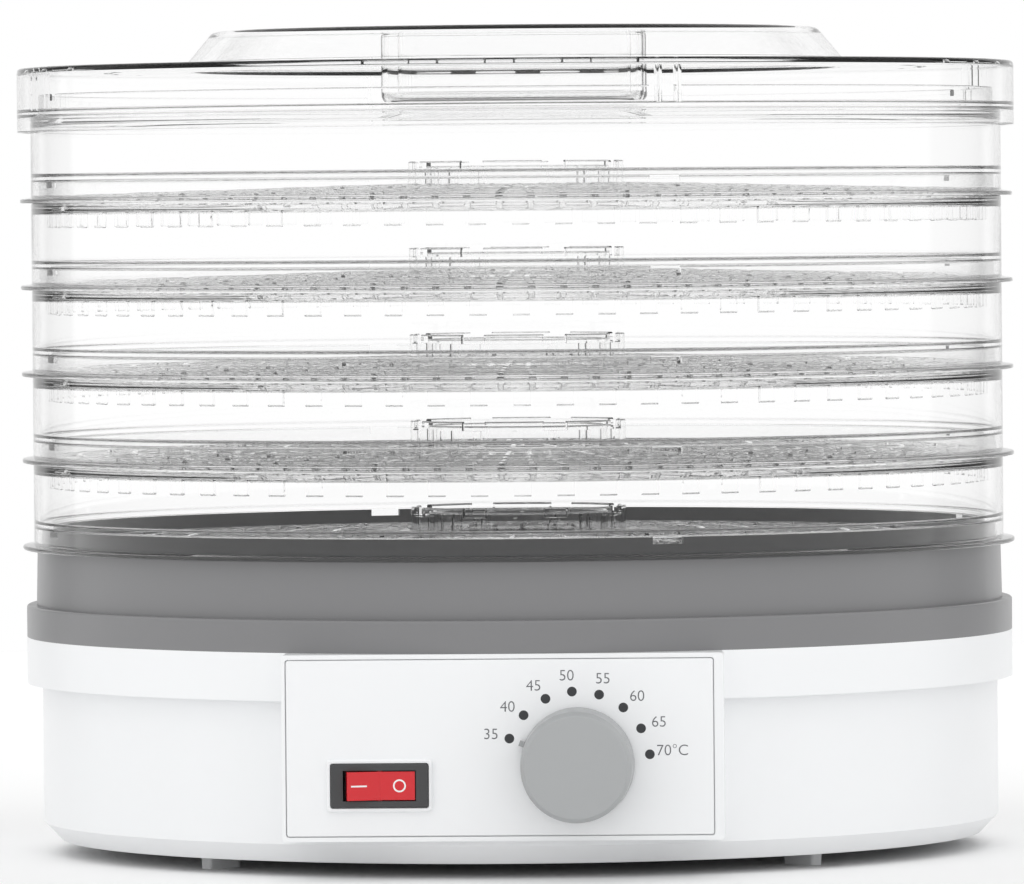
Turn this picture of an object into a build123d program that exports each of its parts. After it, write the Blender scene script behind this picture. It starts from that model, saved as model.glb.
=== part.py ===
"""Round food dehydrator: fan-heater base, five stacking trays and a lid. Millimetres, +Z up.

The origin is on the fan axis, at the height of the surface that the feet stand on. The front faces -Y.
"""

from build123d import *
from math import cos, radians, sin
import os

os.makedirs("parts", exist_ok=True)

# ---------------------------------------------------------------- driving dimensions
WALL = 2.4  # moulded wall of the base
GAP = 0.3  # side gap between fixed plastic pieces
SEAT = 0.05  # radial clearance of shafts and fixed sleeves

FOOT_H = 4.6  # height of the bottom cover above the table
BEVEL_R, BODY_R, SKIRT_R = 149.5, 155.1, 160.0
BEVEL_TOP, SKIRT_Z, SKIRT_TOP = 10.4, 55.2, 70.2
COVER_R, COVER_TOP = 146.7, 7.0

DECK_STEP_Z, DECK_TOP, DECK_FLOOR = 80.5, 98.5, 86.0
OUTLET_R, COLLAR_R, COLLAR_TOP = 60.0, 67.0, 95.0

PITCH = 28.0  # height that one tray adds to the stack
TRAYS = 5
FLANGE_R, TRAY_R, TRAY_IN_R = 161.0, 157.4, 155.5
RIM_OUT_R, RIM_IN_R, RIM_H = 154.9, 153.4, 7.0
CURB_OUT_R, CURB_IN_R, CURB_DROP = 152.9, 151.4, 8.0
CURB_TOP = 8.9  # top of the ledge that joins the curb to the tray wall
HUB_R, HUB_HOLE_R, HUB_TOP = 35.0, 27.5, 12.5
KEY_ANGLES = (-70.7, 19.3, 109.3, 199.3)  # locating notches and the rib pairs above them

LID_R, LID_Z, LID_RING_TOP, LID_TOP = 161.7, 233.3, 254.1, 265.5
LID_WALL = 1.8

PANEL_W, PANEL_Z, PANEL_Y = 136.6, 12.4, -160.4  # control box: width, underside, front plane
SWITCH_X, SWITCH_Z = -38.1, 29.8
KNOB_X, KNOB_Z, KNOB_R, KNOB_Y = 23.1, 36.0, 17.6, -180.0
POINTER_ANGLE = 159.0  # direction of the pointer at the lowest setting, seen from the front

DUCT_R, FAN_R, FAN_Z = 63.0, 57.5, 54.0
SHAFT_R, ROTOR_R, STATOR_Z, STATOR_H = 2.0, 12.0, 20.0, 14.0
HEATER_Z, COIL_R = 73.0, 1.5
SCREW_RING_R = 141.0  # circle of the four long case screws
FOOT_RING_R = 130.0
GLAND_Z = 24.0


def front_plane(x, z, y=PANEL_Y):
    """A plane facing the user, with its x axis to the right and its y axis up."""
    return Plane(origin=(x, y, z), x_dir=(1, 0, 0), z_dir=(0, -1, 0))


def save(part, name):
    part.label = name
    export_step(part, f"parts/{name}.step")


# ---------------------------------------------------------------- base housing
with BuildPart() as base_housing:
    with BuildSketch(Plane.XZ):
        with BuildLine():
            Polyline(
                (0, FOOT_H), (BEVEL_R, FOOT_H), (BODY_R, BEVEL_TOP), (BODY_R, SKIRT_Z),
                (SKIRT_R, SKIRT_Z), (SKIRT_R, SKIRT_TOP), (0, SKIRT_TOP), close=True,
            )
        make_face()
    revolve(axis=Axis.Z)
    box_h = SKIRT_TOP - PANEL_Z
    with BuildSketch(front_plane(0, PANEL_Z + box_h / 2)):
        RectangleRounded(PANEL_W, box_h, 1.0)
    extrude(amount=-40)
    with BuildSketch(Plane.XZ):
        with BuildLine():
            Polyline(
                (0, 0), (COVER_R + GAP, 0), (COVER_R + GAP, COVER_TOP), (BODY_R - WALL, BEVEL_TOP + 1.6),
                (BODY_R - WALL, SKIRT_Z + WALL), (SKIRT_R - WALL, SKIRT_Z + WALL),
                (SKIRT_R - WALL, SKIRT_TOP), (0, SKIRT_TOP), close=True,
            )
        make_face()
    revolve(axis=Axis.Z, mode=Mode.SUBTRACT)
    cavity_low, cavity_high = PANEL_Z + WALL, SKIRT_TOP - 4.2
    with BuildSketch(front_plane(0, (cavity_low + cavity_high) / 2, PANEL_Y + 3.0)):
        Rectangle(PANEL_W - 2 * WALL, cavity_high - cavity_low)
    extrude(amount=-38, mode=Mode.SUBTRACT)
    # shallow recess that the fascia plate lies in
    with BuildSketch(front_plane(-0.9, PANEL_Z + box_h / 2)):
        RectangleRounded(PANEL_W - 4.0, box_h - 2.8, 1.0)
    extrude(amount=-1.2, mode=Mode.SUBTRACT)
    with BuildSketch(front_plane(SWITCH_X, SWITCH_Z)):
        Rectangle(27.6, 12.2)
    extrude(amount=-6, mode=Mode.SUBTRACT)
    with BuildSketch(front_plane(KNOB_X, KNOB_Z)):
        Circle(4.8)
    extrude(amount=-6, mode=Mode.SUBTRACT)
    # flat seat and hole for the cord gland at the back
    with BuildSketch(Plane(origin=(0, BODY_R - WALL - 0.6, GLAND_Z), x_dir=(1, 0, 0), z_dir=(0, 1, 0))):
        Circle(11)
    extrude(amount=WALL + 1.5)
    with BuildSketch(Plane(origin=(0, BODY_R - 8, GLAND_Z), x_dir=(1, 0, 0), z_dir=(0, 1, 0))):
        Circle(6.5 + SEAT)
    extrude(amount=12, mode=Mode.SUBTRACT)
    # four screw bosses with a rib to the wall
    with BuildSketch(Plane.XY.offset(9.4)):
        with PolarLocations(SCREW_RING_R, 4, 45):
            Circle(4.5)
        with PolarLocations(SCREW_RING_R + 6, 4, 45):
            Rectangle(13, 2.4)
    extrude(amount=30)
    with BuildSketch(Plane.XY):
        with PolarLocations(SCREW_RING_R, 4, 45):
            Circle(2.1)
    extrude(amount=60, mode=Mode.SUBTRACT)
save(base_housing.part, "base_housing")

# ---------------------------------------------------------------- fascia plate and switch frame
with BuildPart() as control_panel:
    with BuildSketch(front_plane(-0.9, PANEL_Z + box_h / 2, PANEL_Y + 1.2)):
        RectangleRounded(PANEL_W - 4.0 - 2 * GAP, box_h - 2.8 - 2 * GAP, 0.8)
    extrude(amount=1.2)
    fillet(control_panel.faces().sort_by(Axis.Y)[0].edges(), radius=0.35)
    with BuildSketch(front_plane(SWITCH_X, SWITCH_Z)):
        Rectangle(27.6, 12.2)
    with BuildSketch(front_plane(KNOB_X, KNOB_Z)):
        Circle(4.8)
    extrude(amount=-1.2, mode=Mode.SUBTRACT)
save(control_panel.part, "control_panel")

with BuildPart() as switch_surround:
    with BuildSketch(front_plane(SWITCH_X, SWITCH_Z)):
        RectangleRounded(32.7, 16.3, 1.2)
        RectangleRounded(30.6, 14.0, 0.9, mode=Mode.SUBTRACT)
    extrude(amount=1.6)
    chamfer(switch_surround.faces().sort_by(Axis.Y)[0].outer_wire().edges(), length=0.5)
save(switch_surround.part, "switch_surround")

# ---------------------------------------------------------------- rocker switch
BEZEL_FRONT = PANEL_Y - 2.2
ROCKER_TILT = 9.0  # either way from the middle
PIVOT_Y = BEZEL_FRONT + 2.5
with BuildPart() as switch_housing:
    with BuildSketch(front_plane(SWITCH_X, SWITCH_Z)):
        RectangleRounded(30.2, 13.6, 0.9)
    extrude(amount=2.2)
    fillet(switch_housing.faces().sort_by(Axis.Y)[0].edges(), radius=0.5)
    with BuildSketch(front_plane(SWITCH_X, SWITCH_Z)):
        Rectangle(27.0, 11.6)
    extrude(amount=-13)
    with BuildSketch(front_plane(SWITCH_X, SWITCH_Z, BEZEL_FRONT)):
        Rectangle(22.6, 9.5)
    extrude(amount=-9.6, mode=Mode.SUBTRACT)
    with BuildSketch(Plane.XY.offset(SWITCH_Z)):
        with Locations((SWITCH_X, PIVOT_Y)):
            Circle(1.0 + SEAT)
    extrude(amount=5.5, both=True, mode=Mode.SUBTRACT)
save(switch_housing.part, "switch_housing")

with BuildPart() as switch_rocker:
    # profile in plan, outwards is -Y; both finger faces slope 9 degrees to a shallow valley
    with BuildSketch(Plane(origin=(SWITCH_X, PIVOT_Y, SWITCH_Z)).rotated((0, 0, ROCKER_TILT))):
        with BuildLine():
            Polyline(
                (-10.5, -3.86), (0, -2.2), (10.5, -3.86), (10.5, -0.5), (4, 2.6), (-4, 2.6),
                (-10.5, -0.5), close=True,
            )
        make_face()
    extrude(amount=4.4, both=True)
    fillet(switch_rocker.faces().sort_by(Axis.Y)[0].edges().filter_by(Axis.Z).sort_by(Axis.X)[0], 0.6)
    with BuildSketch(Plane.XY.offset(SWITCH_Z)):
        with Locations((SWITCH_X, PIVOT_Y)):
            Circle(1.0)
    extrude(amount=5.3, both=True)
save(switch_rocker.part, "switch_rocker")

with BuildPart() as neon_lamp:
    with BuildSketch(Plane(origin=(SWITCH_X - 4, PIVOT_Y + 5.2, SWITCH_Z), x_dir=(0, 1, 0), z_dir=(1, 0, 0))):
        Circle(1.2)
    extrude(amount=8)
    fillet(neon_lamp.edges(), radius=0.5)
save(neon_lamp.part, "neon_lamp")

with BuildPart() as switch_terminals:
    with BuildSketch(front_plane(SWITCH_X, SWITCH_Z, PANEL_Y + 13)):
        with GridLocations(8, 0, 3, 1):
            Rectangle(0.8, 6.3)
    extrude(amount=-8)
save(switch_terminals.part, "switch_terminals")

# ---------------------------------------------------------------- thermostat and knob
with BuildPart() as thermostat_body:
    with BuildSketch(front_plane(KNOB_X, KNOB_Z, PANEL_Y + 3.4)):
        RectangleRounded(28, 24, 2)
    extrude(amount=-14)
    with BuildSketch(front_plane(KNOB_X, KNOB_Z, PANEL_Y + 3.4)):
        Circle(4.5)
    extrude(amount=8.2)
    with BuildSketch(front_plane(KNOB_X, KNOB_Z, PANEL_Y + 15)):
        Circle(3.0 + SEAT)
    extrude(amount=30, mode=Mode.SUBTRACT)
    with BuildSketch(front_plane(KNOB_X, KNOB_Z + 7, PANEL_Y + 17.4)):
        with GridLocations(14, 0, 2, 1):
            Rectangle(6.3, 0.8)
    extrude(amount=-7)
save(thermostat_body.part, "thermostat_body")

with BuildPart() as thermostat_nut:
    with BuildSketch(front_plane(KNOB_X, KNOB_Z)):
        RegularPolygon(7.0, 6, major_radius=False)
        Circle(4.5 + SEAT, mode=Mode.SUBTRACT)
    extrude(amount=2.8)
save(thermostat_nut.part, "thermostat_nut")

with BuildPart() as thermostat_shaft:
    with BuildSketch(front_plane(KNOB_X, KNOB_Z, PANEL_Y + 14.8)):
        Circle(3.0)
    extrude(amount=31.8)
    # the flat that drives the knob
    with BuildSketch(front_plane(KNOB_X, KNOB_Z + 4.5, PANEL_Y - 5.8)):
        Rectangle(8, 4)
    extrude(amount=12, mode=Mode.SUBTRACT)
save(thermostat_shaft.part, "thermostat_shaft")

knob_depth = PANEL_Y - 0.6 - KNOB_Y
with BuildPart() as temperature_knob:
    with BuildSketch(Plane.XY):
        with BuildLine():
            Polyline(
                (0, 0), (KNOB_R, 0), (KNOB_R - 0.5, knob_depth - 2.0), (KNOB_R - 1.7, knob_depth),
                (0, knob_depth), close=True,
            )
        make_face()
    revolve(axis=Axis.Y)
    fillet(temperature_knob.edges().group_by(Axis.Y)[-1], radius=0.6)
    with BuildSketch(Plane.XZ):
        Circle(KNOB_R - 2.2)
        Circle(5.5, mode=Mode.SUBTRACT)
    extrude(amount=-(knob_depth - 2.6), mode=Mode.SUBTRACT)
    with BuildSketch(Plane.XZ):
        Circle(5.6)
    extrude(amount=-5.5, mode=Mode.SUBTRACT)
    with BuildSketch(Plane.XZ):
        Circle(3.0 + SEAT)
        with Locations((0, 4.55)):
            Rectangle(8, 4, mode=Mode.SUBTRACT)
    extrude(amount=-(knob_depth - 2.6), mode=Mode.SUBTRACT)
    # pointer at the rim
    with BuildSketch(Plane.XZ.rotated((0, -POINTER_ANGLE, 0))):
        with Locations((KNOB_R - 0.2, 0)):
            Rectangle(3.4, 1.6)
    extrude(amount=-4.0)
knob_placed = Pos(KNOB_X, PANEL_Y - 0.6, KNOB_Z) * Rot(0, 0, 180) * temperature_knob.part
save(knob_placed, "temperature_knob")

# ---------------------------------------------------------------- bottom cover, feet, long screws
with BuildPart() as bottom_cover:
    with BuildSketch(Plane.XY.offset(FOOT_H)):
        Circle(COVER_R)
    extrude(amount=COVER_TOP - FOOT_H)
    with BuildSketch(Plane.XY.offset(COVER_TOP)):
        with PolarLocations(SCREW_RING_R, 4, 45):
            Circle(5.6)
    extrude(amount=2.4)
    # posts that carry the lower motor bracket
    with BuildSketch(Plane.XY.offset(COVER_TOP)):
        with GridLocations(0, 68, 1, 2):
            Circle(4)
    extrude(amount=6.0)
    with BuildSketch(Plane.XY.offset(FOOT_H)):
        with PolarLocations(57, 24):
            SlotOverall(26, 4)
        with PolarLocations(SCREW_RING_R, 4, 45):
            Circle(4.1)
        with PolarLocations(FOOT_RING_R, 4, 45):
            Circle(1.8 + SEAT)
    extrude(amount=2.6, mode=Mode.SUBTRACT)
    with BuildSketch(Plane.XY.offset(FOOT_H)):
        with PolarLocations(SCREW_RING_R, 4, 45):
            Circle(2.2)
    extrude(amount=8, mode=Mode.SUBTRACT)
    with BuildSketch(Plane.XY.offset(COVER_TOP + 1)):
        with GridLocations(0, 68, 1, 2):
            Circle(1.3)
    extrude(amount=5.2, mode=Mode.SUBTRACT)
save(bottom_cover.part, "bottom_cover")

with BuildPart() as feet:
    with BuildSketch(Plane.XY) as foot_base:
        with PolarLocations(FOOT_RING_R, 4, 45):
            RectangleRounded(13, 4.4, 1.0)
    extrude(amount=FOOT_H, taper=-4)
    with BuildSketch(Plane.XY.offset(FOOT_H)):
        with PolarLocations(FOOT_RING_R, 4, 45):
            Circle(1.8)
    extrude(amount=COVER_TOP - FOOT_H)
save(feet.part, "feet")

with BuildPart() as case_screws:
    with BuildSketch(Plane.XY.offset(COVER_TOP + 0.2)):
        with PolarLocations(SCREW_RING_R, 4, 45):
            Circle(3.8)
    extrude(amount=-2.2)
    with BuildSketch(Plane.XY.offset(COVER_TOP)):
        with PolarLocations(SCREW_RING_R, 4, 45):
            Circle(1.9)
    extrude(amount=51)
    with BuildSketch(Plane.XY.offset(COVER_TOP - 2.0)):
        with PolarLocations(SCREW_RING_R, 4, 45):
            Rectangle(4.6, 0.9)
            Rectangle(0.9, 4.6)
    extrude(amount=1.2, mode=Mode.SUBTRACT)
save(case_screws.part, "case_screws")

# ---------------------------------------------------------------- top deck and outlet grille
with BuildPart() as top_deck:
    with BuildSketch(Plane.XZ):
        with BuildLine():
            Polyline(
                (SKIRT_R - WALL - 0.4, SKIRT_TOP - 4.2), (SKIRT_R - WALL - 0.4, SKIRT_TOP),
                (SKIRT_R, SKIRT_TOP), (SKIRT_R, DECK_STEP_Z), (156.8, DECK_STEP_Z), (156.4, DECK_TOP),
                (RIM_OUT_R, DECK_TOP), (RIM_OUT_R, DECK_TOP + RIM_H), (RIM_IN_R, DECK_TOP + RIM_H),
                (RIM_IN_R, DECK_FLOOR), (COLLAR_R, DECK_FLOOR), (COLLAR_R, COLLAR_TOP),
                (COLLAR_R - 2.5, COLLAR_TOP), (COLLAR_R - 2.5, COLLAR_TOP - 3), (OUTLET_R, COLLAR_TOP - 3),
                (OUTLET_R, COLLAR_TOP - 5.5), (COLLAR_R - 2.4, COLLAR_TOP - 5.5),
                (COLLAR_R - 2.4, DECK_FLOOR - 2.2), (154.0, DECK_FLOOR - 2.2), (154.0, 78.0), (157.4, 78.0),
                (157.4, 72.4), (154.8, 72.4), (154.8, SKIRT_TOP - 4.2), close=True,
            )
        make_face()
    revolve(axis=Axis.Z)
    step_edges = top_deck.edges().filter_by(GeomType.CIRCLE).filter_by_position(
        Axis.Z, DECK_STEP_Z - 0.01, DECK_STEP_Z + 0.01
    )
    fillet(step_edges.sort_by(SortBy.RADIUS)[-1], radius=0.8)
    # bosses that the long case screws bite into
    with BuildSketch(Plane.XY.offset(39.4)):
        with PolarLocations(SCREW_RING_R, 4, 45):
            Circle(4.5)
    extrude(amount=DECK_FLOOR - 2.2 - 39.4)
    with BuildSketch(Plane.XY.offset(39.4)):
        with PolarLocations(SCREW_RING_R, 4, 45):
            Circle(2.0)
    extrude(amount=24, mode=Mode.SUBTRACT)
    with BuildSketch(Plane.XY.offset(COLLAR_TOP - 6)):
        with PolarLocations(62.2, 4, 45):
            Circle(1.1)
    extrude(amount=4, mode=Mode.SUBTRACT)
    with BuildSketch(Plane.XY.offset(DECK_TOP + RIM_H - 2.2)):
        for angle in KEY_ANGLES:
            with PolarLocations((RIM_IN_R + RIM_OUT_R) / 2, 1, angle):
                Rectangle(4, 10)
    extrude(amount=3, mode=Mode.SUBTRACT)
save(top_deck.part, "top_deck")

with BuildPart() as outlet_grille:
    with BuildSketch(Plane.XY.offset(COLLAR_TOP - 3)):
        Circle(COLLAR_R - 2.5 - GAP)
        for inner, outer in ((13, 22), (25, 34), (37, 46), (49, 58.5)):
            Circle(outer, mode=Mode.SUBTRACT)
            Circle(inner)
        with PolarLocations(36, 12):
            Rectangle(48, 2.2)
        with PolarLocations(62.2, 4, 45):
            Circle(1.6, mode=Mode.SUBTRACT)
    extrude(amount=2.4)
save(outlet_grille.part, "outlet_grille")

with BuildPart() as grille_screws:
    with BuildSketch(Plane.XY.offset(COLLAR_TOP - 0.6)):
        with PolarLocations(62.2, 4, 45):
            Circle(2.1)
    extrude(amount=1.3)
    fillet(grille_screws.edges().group_by(Axis.Z)[-1], radius=0.5)
    with BuildSketch(Plane.XY.offset(COLLAR_TOP - 0.6)):
        with PolarLocations(62.2, 4, 45):
            Circle(1.05)
    extrude(amount=-5.5)
save(grille_screws.part, "grille_screws")

# ---------------------------------------------------------------- air duct, heater
DUCT_TOP = DECK_FLOOR - 2.2
with BuildPart() as air_duct:
    with BuildSketch(Plane.XY.offset(44)):
        Circle(DUCT_R + 1.0)
        Circle(DUCT_R, mode=Mode.SUBTRACT)
    extrude(amount=DUCT_TOP - 44)
    with BuildSketch(Plane.XY.offset(DUCT_TOP)):
        Circle(DUCT_R + 11)
        Circle(DUCT_R + 1.6, mode=Mode.SUBTRACT)
    extrude(amount=-1.0)
    with BuildSketch(Plane.XY.offset(DUCT_TOP - 1.0)):
        Circle(DUCT_R + 2.0)
        Circle(DUCT_R, mode=Mode.SUBTRACT)
    extrude(amount=-1.0)
    with BuildSketch(Plane.XY.offset(HEATER_Z - 7.2)):
        Rectangle(2 * DUCT_R + 8, 1.2)
        Rectangle(1.2, 2 * DUCT_R + 8)
    extrude(amount=8, mode=Mode.SUBTRACT)
save(air_duct.part, "air_duct")


def heater_board(along_x):
    """One mica board on edge; the two boards cross and hook into each other at the middle."""
    plane = Plane.XZ if along_x else Plane.YZ
    with BuildPart() as board:
        with BuildSketch(plane) as outline:
            with Locations((0, HEATER_Z)):
                Rectangle(2 * DUCT_R - 1, 14)
            with Locations((0, HEATER_Z - 3.2)):
                Rectangle(2 * DUCT_R + 1.8, 7.2)
            for ring in COIL_RINGS:
                with Locations((ring, HEATER_Z), (-ring, HEATER_Z)):
                    Circle(COIL_R + 0.3, mode=Mode.SUBTRACT)
            with Locations((0, HEATER_Z + (3.75 if along_x else -3.75))):
                Rectangle(1.2, 8.0, mode=Mode.SUBTRACT)
        extrude(amount=0.4, both=True)
    return board.part


COIL_RINGS = (20, 34, 48)
save(Compound(children=[heater_board(True), heater_board(False)]), "heater_boards")

with BuildPart() as heater_coil:
    for ring in COIL_RINGS:
        with BuildSketch(Plane.XZ):
            with Locations((ring, HEATER_Z)):
                Circle(COIL_R)
        revolve(axis=Axis.Z)
save(heater_coil.part, "heater_coil")

with BuildPart() as thermal_fuse:
    with BuildSketch(Plane.XY.offset(DUCT_TOP - 1.0)):
        with Locations((0, -(DUCT_R + 6))):
            Rectangle(16, 5)
    extrude(amount=-4)
    with BuildSketch(Plane(origin=(-9, -(DUCT_R + 6), DUCT_TOP - 6), x_dir=(0, 1, 0), z_dir=(1, 0, 0))):
        Circle(2.2)
    extrude(amount=18)
save(thermal_fuse.part, "thermal_fuse")

# ---------------------------------------------------------------- motor
STATOR_TOP = STATOR_Z + STATOR_H
BOLT_Y = 19.0
with BuildPart() as motor_stator:
    with BuildSketch(Plane.XY.offset(STATOR_Z)):
        with Locations((19.5, 0)):
            RectangleRounded(85, 46, 3)
        Circle(ROTOR_R + 0.4, mode=Mode.SUBTRACT)
        with Locations((40, 0)):
            Rectangle(28, 22, mode=Mode.SUBTRACT)
        with GridLocations(0, 2 * BOLT_Y, 1, 2):
            Circle(1.6, mode=Mode.SUBTRACT)
    extrude(amount=STATOR_H)
save(motor_stator.part, "motor_stator")

with BuildPart() as motor_winding:
    with BuildSketch(Plane.XZ.offset(-10.6)):
        with Locations((58, STATOR_Z + STATOR_H / 2)):
            RectangleRounded(24, 28, 4)
            Rectangle(8.4, STATOR_H + 0.4, mode=Mode.SUBTRACT)
    extrude(amount=21.2)
save(motor_winding.part, "motor_winding")

with BuildPart() as motor_brackets:
    for low, length in ((STATOR_TOP + 4, 50), (COVER_TOP + 6, 78)):
        with BuildSketch(Plane.XY.offset(low)):
            SlotOverall(length, 12, rotation=90)
            Circle(4 + SEAT, mode=Mode.SUBTRACT)
        extrude(amount=2)
    for low, high in ((STATOR_TOP, STATOR_TOP + 4), (COVER_TOP + 8, STATOR_Z)):
        with BuildSketch(Plane.XY.offset(low)):
            with GridLocations(0, 2 * BOLT_Y, 1, 2):
                Circle(3.4)
        extrude(amount=high - low)
    with BuildSketch(Plane.XY.offset(COVER_TOP)):
        with GridLocations(0, 2 * BOLT_Y, 1, 2):
            Circle(1.6)
        with GridLocations(0, 68, 1, 2):
            Circle(1.5)
    extrude(amount=50, mode=Mode.SUBTRACT)
save(motor_brackets.part, "motor_brackets")

with BuildPart() as motor_bushes:
    for low in (STATOR_TOP + 2.5, COVER_TOP + 4.5):
        with BuildSketch(Plane.XY.offset(low)):
            Circle(4)
            Circle(SHAFT_R + SEAT, mode=Mode.SUBTRACT)
        extrude(amount=5)
save(motor_bushes.part, "motor_bushes")

with BuildPart() as motor_screws:
    for y, low, high in ((BOLT_Y, COVER_TOP + 4, STATOR_TOP + 6), (34, COVER_TOP + 2, COVER_TOP + 8)):
        with BuildSketch(Plane.XY.offset(low)):
            with GridLocations(0, 2 * y, 1, 2):
                Circle(1.25)
        extrude(amount=high - low)
        with BuildSketch(Plane.XY.offset(high)):
            with GridLocations(0, 2 * y, 1, 2):
                Circle(2.6)
        extrude(amount=1.8)
save(motor_screws.part, "motor_screws")

with BuildPart() as motor_rotor:
    with BuildSketch(Plane.XY.offset(STATOR_Z)):
        Circle(ROTOR_R)
        Circle(SHAFT_R + 0.02, mode=Mode.SUBTRACT)
    extrude(amount=STATOR_H)
    chamfer(motor_rotor.edges().group_by(Axis.Z)[-1].sort_by(SortBy.RADIUS)[-1], length=0.8)
save(motor_rotor.part, "motor_rotor")

with BuildPart() as motor_shaft:
    with BuildSketch(Plane.XY.offset(COVER_TOP + 3)):
        Circle(SHAFT_R)
    extrude(amount=FAN_Z + 5 - COVER_TOP - 3)
    chamfer(motor_shaft.edges().group_by(Axis.Z)[-1], length=0.4)
save(motor_shaft.part, "motor_shaft")

with BuildPart() as fan_impeller:
    with BuildSketch(Plane.XY.offset(FAN_Z - 6.5)):
        Circle(11)
    extrude(amount=13)
    fillet(fan_impeller.edges().group_by(Axis.Z)[-1], radius=2.5)
    for blade in range(7):
        turn = blade * 360 / 7
        radial = Vector(cos(radians(turn)), sin(radians(turn)), 0)
        tangent = Vector(-sin(radians(turn)), cos(radians(turn)), 0)
        root = Plane(origin=radial * 9 + Vector(0, 0, FAN_Z), x_dir=tangent, z_dir=radial)
        tip = Plane(origin=radial * FAN_R + Vector(0, 0, FAN_Z), x_dir=tangent, z_dir=radial)
        with BuildSketch(root):
            SlotOverall(13, 1.8, rotation=42)
        with BuildSketch(tip):
            SlotOverall(22, 1.5, rotation=22)
        loft()
    with BuildSketch(Plane.XY.offset(FAN_Z - 8)):
        Circle(SHAFT_R + 0.02)
    extrude(amount=13, mode=Mode.SUBTRACT)
save(fan_impeller.part, "fan_impeller")

# ---------------------------------------------------------------- mains side
with BuildPart() as cord_gland:
    with BuildSketch(Plane(origin=(0, BODY_R + 0.9, GLAND_Z), x_dir=(1, 0, 0), z_dir=(0, 1, 0))):
        Circle(9)
    extrude(amount=3)
    fillet(cord_gland.edges().group_by(Axis.Y)[-1], radius=1.0)
    with BuildSketch(Plane(origin=(0, BODY_R + 0.9, GLAND_Z), x_dir=(1, 0, 0), z_dir=(0, 1, 0))):
        Circle(6.5)
    extrude(amount=-9)
    with BuildSketch(Plane(origin=(0, BODY_R + 5, GLAND_Z), x_dir=(1, 0, 0), z_dir=(0, 1, 0))):
        Circle(3.6)
    extrude(amount=-16, mode=Mode.SUBTRACT)
save(cord_gland.part, "cord_gland")

with BuildPart() as terminal_block:
    with BuildSketch(Plane.XY.offset(COVER_TOP)):
        with Locations((0, 118)):
            RectangleRounded(26, 15, 1.5)
    extrude(amount=10)
    with BuildSketch(Plane.XY.offset(COVER_TOP + 10)):
        with Locations((-7.5, 118), (0, 118), (7.5, 118)):
            Circle(2.2)
    extrude(amount=-4, mode=Mode.SUBTRACT)
save(terminal_block.part, "terminal_block")


def wire(*points):
    """A round insulated lead through the points, with every corner bent to an arc."""
    with BuildPart() as lead:
        with BuildLine() as route:
            FilletPolyline(*points, radius=9)
        with BuildSketch(Plane(origin=route.line @ 0, z_dir=route.line % 0)):
            Circle(1.1)
        sweep()
    return lead.part


leads = [
    wire((-16, 122, 12), (-88, 122, 12), (-88, -60, 12), (-60, -120, 20), (SWITCH_X - 8, -138.4, 29)),
    wire((SWITCH_X + 8, -138.4, 29), (SWITCH_X + 8, -112, 22), (KNOB_X - 7, -112, 22), (KNOB_X - 7, -135.5, 40)),
    wire((16, 122, 12), (88, 122, 12), (88, -60, 12), (KNOB_X + 30, -110, 20), (KNOB_X + 7, -135.5, 40)),
]
save(Compound(children=leads), "internal_wires")


# ---------------------------------------------------------------- trays
GRID_BANDS = ((40, 57, 24), (60, 78, 24), (81, 101, 48), (104, 125, 48), (128, 148.5, 48))
CURB_WINDOWS = 72


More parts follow.
